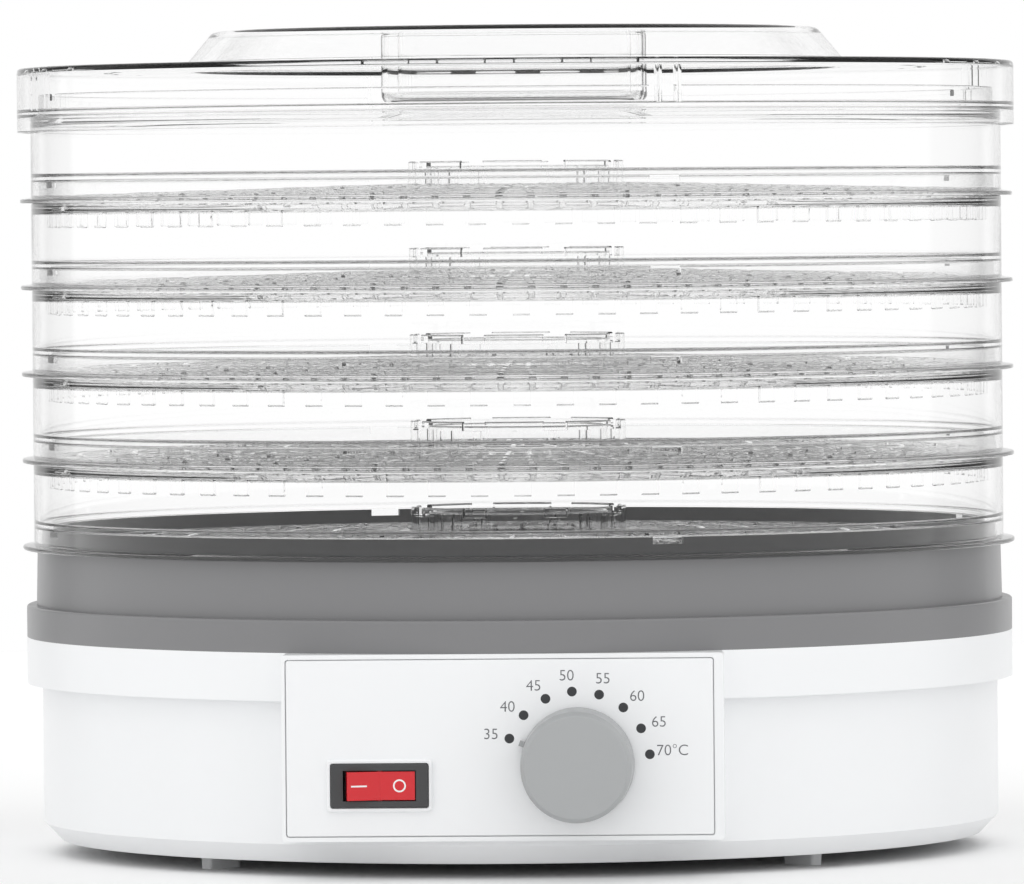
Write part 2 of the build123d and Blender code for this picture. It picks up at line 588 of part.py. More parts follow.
def make_tray(level):
    """A clear tray whose flange plane lies at the given height."""
    with BuildPart() as tray:
        with BuildSketch(Plane.XZ):
            with BuildLine():
                Polyline(
                    (TRAY_IN_R, level), (FLANGE_R, level), (FLANGE_R, level + 1.3), (TRAY_R, level + 1.8),
                    (TRAY_R, level + PITCH), (RIM_OUT_R, level + PITCH), (RIM_OUT_R, level + PITCH + RIM_H),
                    (RIM_IN_R, level + PITCH + RIM_H), (RIM_IN_R, level + PITCH - 1),
                    (TRAY_IN_R, level + PITCH - 3.1), (TRAY_IN_R, level + CURB_TOP),
                    (CURB_IN_R, level + CURB_TOP), (CURB_IN_R, level - CURB_DROP),
                    (CURB_OUT_R, level - CURB_DROP), (CURB_OUT_R, level + RIM_H + 0.4),
                    (TRAY_IN_R, level + RIM_H + 0.4), close=True,
                )
            make_face()
            # gently domed floor
            with BuildLine():
                Polyline(
                    (CURB_IN_R + 0.5, level - 0.4), (CURB_IN_R + 0.5, level + 1.2), (HUB_R, level + 4.2),
                    (HUB_HOLE_R, level + 4.2), (HUB_HOLE_R, level + 2.6), (HUB_R, level + 2.6), close=True,
                )
            make_face()
        revolve(axis=Axis.Z)
        with BuildSketch(Plane.XY.offset(level - 2)):
            for inner, outer, bars in GRID_BANDS:
                with BuildSketch(mode=Mode.PRIVATE) as band:
                    Circle(outer)
                    Circle(inner, mode=Mode.SUBTRACT)
                    with PolarLocations((inner + outer) / 2, bars):
                        Rectangle(outer - inner + 2, 2.4, mode=Mode.SUBTRACT)
                add(band.sketch)
        extrude(amount=8, mode=Mode.SUBTRACT)
        # double hub collar with notches
        with BuildSketch(Plane.XY.offset(level + 3.4)):
            Circle(HUB_R)
            Circle(HUB_R - 1.8, mode=Mode.SUBTRACT)
        extrude(amount=HUB_TOP - 3.4)
        with BuildSketch(Plane.XY.offset(level + 3.4)):
            Circle(HUB_HOLE_R + 1.6)
            Circle(HUB_HOLE_R, mode=Mode.SUBTRACT)
        extrude(amount=HUB_TOP - 5)
        with BuildSketch(Plane.XY.offset(level + HUB_TOP - 3)):
            with PolarLocations(HUB_R - 1, 8):
                Rectangle(5, 8)
        extrude(amount=4, mode=Mode.SUBTRACT)
        # windows in the curb below the flange
        with BuildSketch(Plane.XY.offset(level - CURB_DROP)):
            with PolarLocations((CURB_IN_R + CURB_OUT_R) / 2, CURB_WINDOWS):
                Rectangle(4, 8.0)
        extrude(amount=6, mode=Mode.SUBTRACT)
        # locating notches in the rim
        with BuildSketch(Plane.XY.offset(level + PITCH + RIM_H - 2.2)):
            for angle in KEY_ANGLES:
                with PolarLocations((RIM_IN_R + RIM_OUT_R) / 2, 1, angle):
                    Rectangle(4, 10)
        extrude(amount=3, mode=Mode.SUBTRACT)
    return tray.part


for number in range(1, TRAYS + 1):
    save(make_tray(DECK_TOP + PITCH * (number - 1)), f"tray_{number}")

# ---------------------------------------------------------------- lid
LID_SEAT = DECK_TOP + PITCH * TRAYS  # plane of the top tray that the lid rests on
WELL_W, WELL_D, WELL_Y, WELL_FLOOR = 81.0, 24.0, 22.0, 243.0
BOSS_R, BOSS_TOP_R = 107.5, 98.0
with BuildPart() as lid:
    with BuildSketch(Plane.XZ):
        with BuildLine():
            Polyline(
                (LID_R - LID_WALL, LID_Z), (LID_R, LID_Z), (LID_R, LID_RING_TOP), (BOSS_R, LID_RING_TOP),
                (BOSS_TOP_R, LID_TOP), (0, LID_TOP), (0, LID_TOP - LID_WALL),
                (BOSS_TOP_R - 1, LID_TOP - LID_WALL), (BOSS_R - 1.6, LID_RING_TOP - LID_WALL),
                (LID_R - LID_WALL, LID_RING_TOP - LID_WALL), (LID_R - LID_WALL, LID_SEAT + 1.6),
                (TRAY_IN_R + 0.2, LID_SEAT + 1.6), (TRAY_IN_R + 0.2, LID_SEAT), (LID_R - LID_WALL, LID_SEAT),
                close=True,
            )
        make_face()
    revolve(axis=Axis.Z)
    top_rings = lid.edges().filter_by(GeomType.CIRCLE)
    outer_corner = top_rings.filter_by_position(Axis.Z, LID_RING_TOP - 0.01, LID_RING_TOP + 0.01)
    boss_corner = top_rings.filter_by_position(Axis.Z, LID_TOP - 0.01, LID_TOP + 0.01)
    fillet(outer_corner.sort_by(SortBy.RADIUS)[-1], radius=1.5)
    fillet(boss_corner.sort_by(SortBy.RADIUS)[-1], radius=1.6)
    # two finger wells leave a grip bar between them
    with BuildSketch(Plane.XY.offset(WELL_FLOOR - LID_WALL)):
        with GridLocations(0, 2 * WELL_Y, 1, 2):
            RectangleRounded(WELL_W + 2 * LID_WALL, WELL_D + 2 * LID_WALL, 10 + LID_WALL)
    extrude(amount=LID_TOP - WELL_FLOOR)
    with BuildSketch(Plane.XY.offset(WELL_FLOOR)):
        with GridLocations(0, 2 * WELL_Y, 1, 2):
            RectangleRounded(WELL_W, WELL_D, 10)
    extrude(amount=LID_TOP - WELL_FLOOR + 1, mode=Mode.SUBTRACT)
    # pairs of upright ribs that drop into the notches of the tray rim
    with BuildSketch(Plane.XY.offset(LID_SEAT + 1.0)):
        for angle in KEY_ANGLES:
            for side in (-1.13, 1.13):
                with PolarLocations(LID_R - 3.4, 1, angle + side):
                    Rectangle(4.4, 1.5)
    extrude(amount=LID_RING_TOP - LID_SEAT - 2)
    # steam vents in the flat ring
    with BuildSketch(Plane.XY.offset(LID_RING_TOP - 4)):
        for angle in (-90, 0, 90, 180):
            for step in (-15, -5, 5, 15):
                with PolarLocations(132, 1, angle + step):
                    SlotOverall(15, 3, rotation=90)
    extrude(amount=6, mode=Mode.SUBTRACT)
save(lid.part, "lid")
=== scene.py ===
"""Looks for the stacking food dehydrator: clear moulded trays and lid, white and grey base, studio light."""

import math

import bmesh
import bpy
from mathutils import Matrix, Vector
from mathutils.bvhtree import BVHTree


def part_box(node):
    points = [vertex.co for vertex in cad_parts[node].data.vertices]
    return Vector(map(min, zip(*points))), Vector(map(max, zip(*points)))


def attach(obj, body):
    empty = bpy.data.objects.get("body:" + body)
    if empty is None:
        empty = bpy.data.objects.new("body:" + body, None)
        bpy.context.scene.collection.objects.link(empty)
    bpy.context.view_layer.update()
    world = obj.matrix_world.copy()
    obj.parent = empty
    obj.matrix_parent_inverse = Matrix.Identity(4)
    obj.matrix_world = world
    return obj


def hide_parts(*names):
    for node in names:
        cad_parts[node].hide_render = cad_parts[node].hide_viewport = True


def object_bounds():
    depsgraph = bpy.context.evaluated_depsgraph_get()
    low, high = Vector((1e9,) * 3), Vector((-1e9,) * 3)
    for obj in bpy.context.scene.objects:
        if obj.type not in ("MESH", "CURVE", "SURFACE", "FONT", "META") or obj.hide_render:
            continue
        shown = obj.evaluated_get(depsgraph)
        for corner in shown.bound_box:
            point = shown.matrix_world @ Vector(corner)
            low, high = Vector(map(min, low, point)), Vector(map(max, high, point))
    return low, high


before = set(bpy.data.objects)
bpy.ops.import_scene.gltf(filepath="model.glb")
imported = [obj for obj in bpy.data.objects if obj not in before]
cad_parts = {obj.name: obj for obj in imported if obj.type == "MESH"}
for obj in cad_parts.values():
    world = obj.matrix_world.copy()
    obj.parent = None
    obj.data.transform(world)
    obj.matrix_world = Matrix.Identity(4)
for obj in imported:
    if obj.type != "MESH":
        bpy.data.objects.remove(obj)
cad_low, cad_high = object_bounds()
MM = 0.001
KEY_ANGLES = (-70.7, 19.3, 109.3, 199.3)  # notches of the nesting rims and the rib pairs of the lid
SKIRT_DROP = 8  # the tray's skirt below its flange plane, in millimetres
TRAY_PITCH = 28  # from one flange plane to the next, in millimetres
FLOOR_INNER, FLOOR_OUTER = 35.0 * MM, 151.4 * MM  # the domed tray floor
FLOOR_EDGE, FLOOR_RISE = 1.2, 3.0  # height of the floor at its rim and how far it rises, in millimetres
SPOKES = 24


# ------------------------------------------------------------------ mesh helpers
def new_object(name, bm, smooth_angle=35):
    """Turns a bmesh into a linked object, smooth except across edges sharper than the angle."""
    bmesh.ops.recalc_face_normals(bm, faces=bm.faces)
    mesh = bpy.data.meshes.new(name)
    bm.to_mesh(mesh)
    bm.free()
    obj = bpy.data.objects.new(name, mesh)
    bpy.context.scene.collection.objects.link(obj)
    shade(obj, smooth_angle)
    return obj


def shade(obj, smooth_angle=35):
    """Smooth shading with sharp edges where faces meet at more than the angle, in degrees."""
    mesh = obj.data
    mesh.polygons.foreach_set("use_smooth", [True] * len(mesh.polygons))
    mesh.set_sharp_from_angle(angle=math.radians(smooth_angle))


def apply_modifiers(obj):
    """Bakes an object's modifiers into its mesh."""
    graph = bpy.context.evaluated_depsgraph_get()
    mesh = bpy.data.meshes.new_from_object(obj.evaluated_get(graph))
    old = obj.data
    obj.modifiers.clear()
    obj.data = mesh
    bpy.data.meshes.remove(old)


def paint(obj, mat):
    """Gives every face of an object one material."""
    obj.data.materials.clear()
    obj.data.materials.append(mat)
    obj.data.polygons.foreach_set("material_index", [0] * len(obj.data.polygons))


def settle_normals(obj):
    """Keeps wide faces optically flat next to their small rounded edges."""
    weigh = obj.modifiers.new("weighted_normals", "WEIGHTED_NORMAL")
    weigh.mode = "FACE_AREA"
    weigh.keep_sharp = True
    weigh.weight = 100


def combine(target, tool, operation):
    """Joins the tool to the target or cuts it away, and deletes the tool."""
    change = target.modifiers.new(operation, "BOOLEAN")
    change.operation = operation
    change.solver = "MANIFOLD"
    change.object = tool
    bpy.context.view_layer.update()
    apply_modifiers(target)
    bpy.data.objects.remove(tool)


def soften(obj, width, segments=2, angle=40):
    """Rounds the edges of a closed mesh."""
    bevel = obj.modifiers.new("soften", "BEVEL")
    bevel.width = width
    bevel.segments = segments
    bevel.limit_method = "ANGLE"
    bevel.angle_limit = math.radians(angle)
    bevel.use_clamp_overlap = True
    apply_modifiers(obj)


def rounded(profile, radius, steps=3):
    """A closed outline with its corners turned into small arcs, as long as the edges beside them allow."""
    out = []
    for i, corner in enumerate(profile):
        corner = Vector(corner)
        before, after = Vector(profile[i - 1]) - corner, Vector(profile[(i + 1) % len(profile)]) - corner
        reach = min(radius, 0.45 * before.length, 0.45 * after.length)
        out += arc_between(corner, before, after, reach, steps)
    return out


def arc_between(corner, before, after, reach, steps):
    """The points that round one corner, with a support point beyond each end where there is room for it."""
    start, end = corner + before.normalized() * reach, corner + after.normalized() * reach
    points = []
    if before.length > 5 * reach:
        points.append(start + before.normalized() * 0.3 * reach)
    for k in range(steps + 1):
        t = k / steps
        points.append(start * (1 - t) ** 2 + corner * 2 * t * (1 - t) + end * t * t)
    if after.length > 5 * reach:
        points.append(end + after.normalized() * 0.3 * reach)
    return points


def revolve(name, outline, segments=288):
    """Spins a closed (radius, height) outline, in metres, about the Z axis."""
    bm = bmesh.new()
    rings = []
    for k in range(segments):
        angle = 2 * math.pi * k / segments
        rings.append([bm.verts.new((r * math.cos(angle), r * math.sin(angle), z)) for r, z in outline])
    for k in range(segments):
        here, there = rings[k], rings[(k + 1) % segments]
        for i in range(len(outline)):
            j = (i + 1) % len(outline)
            bm.faces.new((here[i], there[i], there[j], here[j]))
    return new_object(name, bm)


def revolve_disc(name, outline, segments=288):
    """Spins an open outline that starts and ends on the Z axis into a closed solid."""
    bm = bmesh.new()
    first, last = bm.verts.new((0, 0, outline[0][1])), bm.verts.new((0, 0, outline[-1][1]))
    inner = outline[1:-1]
    rings = []
    for k in range(segments):
        angle = 2 * math.pi * k / segments
        rings.append([bm.verts.new((r * math.cos(angle), r * math.sin(angle), z)) for r, z in inner])
    for k in range(segments):
        here, there = rings[k], rings[(k + 1) % segments]
        bm.faces.new((first, here[0], there[0]))
        for i in range(len(inner) - 1):
            bm.faces.new((here[i], here[i + 1], there[i + 1], there[i]))
        bm.faces.new((here[-1], last, there[-1]))
    return new_object(name, bm)


def add_block(bm, size, centre, angle):
    """Adds a (radial, tangential, height) box with its centre at (radius, height), turned about the axis."""
    turn = Matrix.Rotation(angle, 4, "Z") @ Matrix.Translation((centre[0], 0, centre[1]))
    bmesh.ops.create_cube(bm, size=1, matrix=turn @ Matrix.Diagonal((*size, 1)))


def blocks(name, count, size, centre, offset=0.0):
    """Boxes spaced evenly round the axis, as one object."""
    bm = bmesh.new()
    for k in range(count):
        add_block(bm, size, centre, 2 * math.pi * k / count + offset)
    return new_object(name, bm)


def key_blocks(name, size, centre):
    """A box at each locating angle."""
    bm = bmesh.new()
    for angle in KEY_ANGLES:
        add_block(bm, size, centre, math.radians(angle))
    return new_object(name, bm)


def prism(name, width, depth, radius, low, high, centre=(0, 0), steps=8):
    """An upright block with rounded corners in plan."""
    bm = bmesh.new()
    loop = []
    for corner in range(4):
        sx, sy = (1, 1, -1, -1)[corner], (-1, 1, 1, -1)[corner]
        cx, cy = centre[0] + sx * (width / 2 - radius), centre[1] + sy * (depth / 2 - radius)
        for k in range(steps + 1):
            a = math.radians(-90 + 90 * corner + 90 * k / steps)
            loop.append((cx + radius * math.cos(a), cy + radius * math.sin(a)))
    bottom = [bm.verts.new((x, y, low)) for x, y in loop]
    top = [bm.verts.new((x, y, high)) for x, y in loop]
    bm.faces.new(bottom)
    bm.faces.new(top)
    for i in range(len(loop)):
        j = (i + 1) % len(loop)
        bm.faces.new((bottom[i], bottom[j], top[j], top[i]))
    return new_object(name, bm)


def floor_height(radius):
    """Height of the domed tray floor above the flange plane."""
    return (FLOOR_EDGE + FLOOR_RISE * (FLOOR_OUTER - radius) / (FLOOR_OUTER - FLOOR_INNER)) * MM


def grid_zone(name, inner, outer, rows, columns, bar, level):
    """A ring of the tray floor: straight bars of constant width round rows and columns of openings."""
    pitch = (outer - inner) / rows
    radii = []
    for row in range(rows + 1):
        radii += [inner + row * pitch - bar / 2, inner + row * pitch + bar / 2]
    bm = bmesh.new()
    rings = []
    for radius in radii:
        half = bar / 2 / radius
        ring = []
        for column in range(columns):
            for side in (-half, half):
                angle = 2 * math.pi * column / columns + side
                ring.append(bm.verts.new((
                    radius * math.cos(angle), radius * math.sin(angle), level + floor_height(radius)
                )))
        rings.append(ring)
    for i in range(len(radii) - 1):
        for j in range(2 * columns):
            if i % 2 and j % 2:
                continue
            k = (j + 1) % (2 * columns)
            bm.faces.new((rings[i][j], rings[i + 1][j], rings[i + 1][k], rings[i][k]))
    zone = new_object(name, bm)
    thick = zone.modifiers.new("thick", "SOLIDIFY")
    thick.thickness = 1.6 * MM
    thick.offset = -1
    thick.use_even_offset = True
    apply_modifiers(zone)
    soften(zone, 0.35 * MM, segments=2, angle=50)
    return zone


def spoke_bars(name, inner, outer, half, heights):
    """Radial bars; heights gives their bottom and top at a radius."""
    bm = bmesh.new()
    for spoke in range(SPOKES):
        turn = Matrix.Rotation(2 * math.pi * spoke / SPOKES, 4, "Z")
        corners = [
            bm.verts.new(turn @ Vector((radius, side, z)))
            for radius in (inner, outer) for side in (-half, half) for z in heights(radius)
        ]
        a, b, c, d, e, f, g, h = corners
        for face in ((a, b, d, c), (e, g, h, f), (a, e, f, b), (c, d, h, g), (b, f, h, d), (a, c, g, e)):
            bm.faces.new(face)
    bars = new_object(name, bm)
    soften(bars, 0.3 * MM)
    return bars


# ------------------------------------------------------------------ clear trays
def tray_master():
    """One tray with its flange plane at height 0; every size is in metres."""
    def p(*pairs):
        return [(r * MM, z * MM) for r, z in pairs]

    outline = p(
        (155.5, 0), (161.0, 0), (161.0, 1.3), (157.4, 1.8), (157.4, 28), (154.9, 28), (154.9, 35),
        (153.4, 35), (153.4, 27), (155.5, 24.9), (155.5, 8.9), (151.4, 8.9), (151.4, -8), (152.9, -8),
        (152.9, 7.4), (155.5, 7.4),
    )
    tray = revolve("tray", rounded(outline, 0.5 * MM))
    combine(tray, blocks("windows", 72, (4 * MM, 8 * MM, 8 * MM), (152.2 * MM, -6 * MM)), "DIFFERENCE")
    combine(tray, key_blocks("notches", (4 * MM, 10 * MM, 4 * MM), (154.2 * MM, 34.8 * MM)), "DIFFERENCE")

    zones = ((38, 60, 3, 48), (60, 99, 5, 72), (99, 151.0, 6, 96))
    for number, (inner, outer, rows, columns) in enumerate(zones):
        zone = grid_zone(f"zone_{number}", inner * MM, outer * MM, rows, columns, 2.0 * MM, 0.0)
        combine(tray, zone, "UNION")
    for radius in (60, 75.6, 107.7, 125.0, 142.3):
        top = floor_height(radius * MM) / MM
        near, far, base, crest = radius - 0.8, radius + 0.8, top - 0.6, top + 1.4
        rib = p((near, base), (far, base), (far, crest), (near, crest))
        combine(tray, revolve("ring_rib", rounded(rib, 0.7 * MM, 4)), "UNION")

    spokes = spoke_bars(
        "spokes", 36 * MM, 151.8 * MM, 0.8 * MM,
        lambda radius: (floor_height(radius) - 0.8 * MM, floor_height(radius) + 1.2 * MM),
    )
    combine(tray, spokes, "UNION")

    hub = revolve("hub", rounded(p(
        (27.5, 2.6), (39.2, 2.6), (39.2, 4.15), (35.0, 4.2), (35.0, 12.5), (33.2, 12.5), (33.2, 4.2),
        (29.1, 4.2), (29.1, 10.9), (27.5, 10.9),
    ), 0.5 * MM))
    combine(hub, blocks("gussets", 16, (4.6 * MM, 1.2 * MM, 6 * MM), (31.2 * MM, 6.4 * MM)), "UNION")
    notches = blocks("hub_notches", 8, (5 * MM, 8 * MM, 6 * MM), (34 * MM, 12.5 * MM), math.pi / 8)
    combine(hub, notches, "DIFFERENCE")
    combine(tray, hub, "UNION")
    shade(tray, 35)
    settle_normals(tray)
    apply_modifiers(tray)
    return tray


def make_trays(material):
    master = tray_master()
    for number in range(1, 6):
        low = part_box(f"tray_{number}")[0]
        piece = bpy.data.objects.new(f"clear_tray_{number}", master.data.copy())
        bpy.context.scene.collection.objects.link(piece)
        piece.data.transform(Matrix.Translation((0, 0, low.z + SKIRT_DROP * MM)))
        paint(piece, material)
        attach(piece, f"tray_{number}")
        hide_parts(f"tray_{number}")
    bpy.data.objects.remove(master)


# ------------------------------------------------------------------ clear lid
def make_lid(material):
    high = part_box("lid")[1]
    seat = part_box("tray_5")[0].z + (SKIRT_DROP + TRAY_PITCH) * MM
    outer_r, wall = high.x, 1.8 * MM
    inner_r, ledge_r = outer_r - wall, 155.7 * MM
    bottom = 233.3 * MM
    ring_top, top = 254.1 * MM, high.z
    boss_r, boss_top_r = 107.5 * MM, 98.0 * MM

    outline = [
        (0, top - wall), (boss_top_r - 1 * MM, top - wall), (boss_r - 1.6 * MM, ring_top - wall),
        (inner_r, ring_top - wall), (inner_r, seat + 1.6 * MM), (ledge_r, seat + 1.6 * MM), (ledge_r, seat),
        (inner_r, seat), (inner_r, bottom), (outer_r, bottom),
        (outer_r, ring_top), (boss_r, ring_top), (boss_top_r, top), (0, top),
    ]
    body = [Vector(point) for point in outline]
    soft = [body[0]]
    for i in range(1, len(body) - 1):
        corner, before, after = body[i], body[i - 1] - body[i], body[i + 1] - body[i]
        radius = 1.6 * MM if corner.y > ring_top - 0.1 * MM else 0.5 * MM
        reach = min(radius, 0.45 * before.length, 0.45 * after.length)
        soft += arc_between(corner, before, after, reach, 4)
    soft.append(body[-1])
    lid = revolve_disc("clear_lid", soft)

    width, depth, floor = 81 * MM, 24 * MM, 243 * MM
    for side in (-1, 1):
        shell = prism(
            "well_shell", width + 2 * wall, depth + 2 * wall, 11.8 * MM, floor - wall, top - 1.0 * MM,
            (0, side * 22 * MM),
        )
        soften(shell, 3.2 * MM, segments=5, angle=60)
        combine(lid, shell, "UNION")
    for side in (-1, 1):
        well = prism("well", width, depth, 10 * MM, floor, top + 4 * MM, (0, side * 22 * MM))
        soften(well, 2.4 * MM, segments=5, angle=60)
        combine(lid, well, "DIFFERENCE")

    bm = bmesh.new()
    for angle in KEY_ANGLES:
        for side in (-1.13, 1.13):
            centre = outer_r - 3.4 * MM, seat + 7.4 * MM
            add_block(bm, (4.4 * MM, 1.5 * MM, 13 * MM), centre, math.radians(angle + side))
    ribs = new_object("ribs", bm)
    soften(ribs, 0.35 * MM)
    combine(lid, ribs, "UNION")

    bm = bmesh.new()
    for angle in (-90, 0, 90, 180):
        for step in (-15, -5, 5, 15):
            add_block(bm, (3 * MM, 15 * MM, 8 * MM), (132 * MM, ring_top), math.radians(angle + step))
    vents = new_object("vents", bm)
    soften(vents, 1.4 * MM, segments=3)
    combine(lid, vents, "DIFFERENCE")
    shade(lid, 35)
    settle_normals(lid)
    apply_modifiers(lid)
    paint(lid, material)
    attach(lid, "lid")
    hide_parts("lid")


# ------------------------------------------------------------------ materials
def material(name):
    mat = bpy.data.materials.new(name)
    mat.use_nodes = True
    nodes = mat.node_tree.nodes
    return mat, nodes, mat.node_tree.links, nodes["Principled BSDF"]


def add_noise(nodes, links, scale, detail=4.0, roughness=0.5):
    """A noise texture in the object's own space."""
    place = nodes.new("ShaderNodeTexCoord")
    noise = nodes.new("ShaderNodeTexNoise")
    noise.inputs["Scale"].default_value = scale
    noise.inputs["Detail"].default_value = detail
    noise.inputs["Roughness"].default_value = roughness
    links.new(place.outputs["Object"], noise.inputs["Vector"])
    return noise


def add_ramp(nodes, links, source, low, high, start=0.3, end=0.7):
    """Maps a value to a colour or grey between two ends."""
    ramp = nodes.new("ShaderNodeValToRGB")
    ramp.color_ramp.elements[0].position = start
    ramp.color_ramp.elements[1].position = end
    ramp.color_ramp.elements[0].color = (*low, 1)
    ramp.color_ramp.elements[1].color = (*high, 1)
    links.new(source, ramp.inputs["Fac"])
    return ramp


def plastic(name, colour, roughness, grain=900.0, depth=0.012, spread=0.015):
    """Moulded opaque plastic: slight colour drift, uneven gloss and a fine mould grain."""
    mat, nodes, links, shader = material(name)
    drift = add_noise(nodes, links, 14.0, 3.0)
    darker = tuple(c * (1 - spread) for c in colour)
    ramp = add_ramp(nodes, links, drift.outputs["Fac"], darker, colour)
    links.new(ramp.outputs["Color"], shader.inputs["Base Color"])
    gloss = add_noise(nodes, links, 60.0, 5.0)
    spots = add_ramp(nodes, links, gloss.outputs["Fac"], (roughness * 0.95,) * 3, (roughness * 1.05,) * 3)
    links.new(spots.outputs["Color"], shader.inputs["Roughness"])
    texture = add_noise(nodes, links, grain, 3.0, 0.6)
    bump = nodes.new("ShaderNodeBump")
    bump.inputs["Strength"].default_value = depth
    bump.inputs["Distance"].default_value = 0.0004
    links.new(texture.outputs["Fac"], bump.inputs["Height"])
    links.new(bump.outputs["Normal"], shader.inputs["Normal"])
    return mat


def metal(name, colour, roughness, scale=400.0):
    """Bare metal with faint handling marks."""
    mat, nodes, links, shader = material(name)
    shader.inputs["Metallic"].default_value = 1.0
    marks = add_noise(nodes, links, scale, 6.0, 0.65)
    ramp = add_ramp(nodes, links, marks.outputs["Fac"], tuple(c * 0.8 for c in colour), colour)
    links.new(ramp.outputs["Color"], shader.inputs["Base Color"])
    rough = add_ramp(nodes, links, marks.outputs["Fac"], (roughness * 0.8,) * 3, (roughness * 1.3,) * 3)
    links.new(rough.outputs["Color"], shader.inputs["Roughness"])
    return mat


def clear_plastic():
    """Clear moulded styrene: refracting, slightly absorbing, faintly wavy as injection moulding leaves it."""
    mat, nodes, links, shader = material("clear_plastic")
    shader.inputs["Base Color"].default_value = (1, 1, 1, 1)
    shader.inputs["Roughness"].default_value = 0.0
    shader.inputs["IOR"].default_value = 1.30
    shader.inputs["Transmission Weight"].default_value = 1.0
    waves = add_noise(nodes, links, 30.0, 1.0, 0.4)
    bump = nodes.new("ShaderNodeBump")
    bump.inputs["Strength"].default_value = 0.05
    bump.inputs["Distance"].default_value = 0.0006
    links.new(waves.outputs["Fac"], bump.inputs["Height"])
    links.new(bump.outputs["Normal"], shader.inputs["Normal"])
    # light passes through the clear walls instead of casting hard glass shadows
    path = nodes.new("ShaderNodeLightPath")
    see_through = nodes.new("ShaderNodeBsdfTransparent")
    see_through.inputs["Color"].default_value = (0.97, 0.97, 0.97, 1)
    mix = nodes.new("ShaderNodeMixShader")
    links.new(path.outputs["Is Shadow Ray"], mix.inputs["Fac"])
    links.new(shader.outputs["BSDF"], mix.inputs[1])
    links.new(see_through.outputs["BSDF"], mix.inputs[2])
    links.new(mix.outputs["Shader"], nodes["Material Output"].inputs["Surface"])
    absorb = nodes.new("ShaderNodeVolumeAbsorption")
    absorb.inputs["Color"].default_value = (0.60, 0.62, 0.63, 1)
    absorb.inputs["Density"].default_value = 1.5
    links.new(absorb.outputs["Volume"], nodes["Material Output"].inputs["Volume"])
    return mat


def dress(node, mat, smooth_angle=30):
    """Gives a CAD node its material and smooth shading."""
    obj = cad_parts[node]
    paint(obj, mat)
    shade(obj, smooth_angle)
    settle_normals(obj)


white = plastic("white_plastic", (0.86, 0.87, 0.88), 0.30)
grey = plastic("grey_plastic", (0.20, 0.20, 0.205), 0.30, depth=0.03)
knob_grey = plastic("knob_grey", (0.37, 0.38, 0.385), 0.38, depth=0.04)
dark = plastic("dark_plastic", (0.045, 0.046, 0.048), 0.42, depth=0.06)
red = plastic("red_lens", (0.62, 0.012, 0.02), 0.18, depth=0.01)
steel = metal("steel", (0.62, 0.62, 0.62), 0.3)
sheet_metal = metal("galvanised", (0.60, 0.62, 0.64), 0.42, 120.0)
laminations = metal("laminations", (0.30, 0.30, 0.31), 0.5)
copper = metal("copper", (0.72, 0.33, 0.16), 0.35, 900.0)
bronze = metal("bronze", (0.60, 0.43, 0.20), 0.4)
heater_wire = metal("resistance_wire", (0.36, 0.33, 0.30), 0.5, 900.0)
mica = plastic("mica", (0.66, 0.60, 0.46), 0.5, grain=300.0, depth=0.2, spread=0.2)
rubber = plastic("black_rubber", (0.02, 0.02, 0.021), 0.65, depth=0.1)
jacket = plastic("wire_jacket", (0.70, 0.70, 0.66), 0.45)
ceramic = plastic("ceramic", (0.80, 0.79, 0.74), 0.25)
clear = clear_plastic()

looks = {
    "base_housing": white, "control_panel": white, "switch_surround": white, "bottom_cover": white,
    "feet": white, "switch_housing": dark, "switch_rocker": red, "neon_lamp": ceramic,
    "switch_terminals": steel, "thermostat_body": ceramic, "thermostat_nut": steel,
    "thermostat_shaft": steel, "temperature_knob": knob_grey, "case_screws": steel, "top_deck": grey,
    "outlet_grille": grey, "grille_screws": steel, "air_duct": sheet_metal, "heater_boards": mica,
    "heater_coil": heater_wire, "thermal_fuse": ceramic, "motor_stator": laminations,
    "motor_winding": copper, "motor_brackets": sheet_metal, "motor_bushes": bronze, "motor_screws": steel,
    "motor_rotor": laminations, "motor_shaft": steel, "fan_impeller": dark, "cord_gland": rubber,
    "terminal_block": ceramic, "internal_wires": jacket,
}
for node_name, mat in looks.items():
    dress(node_name, mat)

make_trays(clear)
make_lid(clear)


# ------------------------------------------------------------------ printed marks
KNOB_X, KNOB_Z = 23.1 * MM, 36.0 * MM
SWITCH_X, SWITCH_Z = -38.1 * MM, 29.8 * MM
INK = 0.04 * MM  # thickness of the print
DIAL_START, DIAL_STEP = 159, 21.65  # bearing of the first dot and the angle between dots, in degrees
DOT_RING_R, DOT_R = 22.5 * MM, 1.5 * MM


def print_on(node, name, outline_mesh, mat, body):
    """Lays a flat mark, drawn in the XZ plane, on the front of a CAD node, as thick as ink."""
    obj = bpy.data.objects.new(name, outline_mesh)
    bpy.context.scene.collection.objects.link(obj)
    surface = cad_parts[node]
    tree = BVHTree.FromObject(surface, bpy.context.evaluated_depsgraph_get())
    for vertex in obj.data.vertices:
        hit = tree.ray_cast(Vector((vertex.co.x, -0.25, vertex.co.z)), Vector((0, 1, 0)))[0]
        vertex.co.y = hit.y - 0.005 * MM
    thick = obj.modifiers.new("ink", "SOLIDIFY")
    thick.thickness = INK
    thick.offset = 0
    apply_modifiers(obj)
    paint(obj, mat)
    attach(obj, body)
    return obj


def flat_mesh(name, loops):
    """A mesh of flat strips and fans in the XZ plane: each loop is a list of (x, z) corners."""
    bm = bmesh.new()
    for loop in loops:
        bm.faces.new([bm.verts.new((x, 0, z)) for x, z in loop])
    mesh = bpy.data.meshes.new(name)
    bm.to_mesh(mesh)
    bm.free()
    return mesh


def circle(x, z, radius, steps=32):
    return [
        (x + radius * math.cos(2 * math.pi * k / steps), z + radius * math.sin(2 * math.pi * k / steps))
        for k in range(steps)
    ]


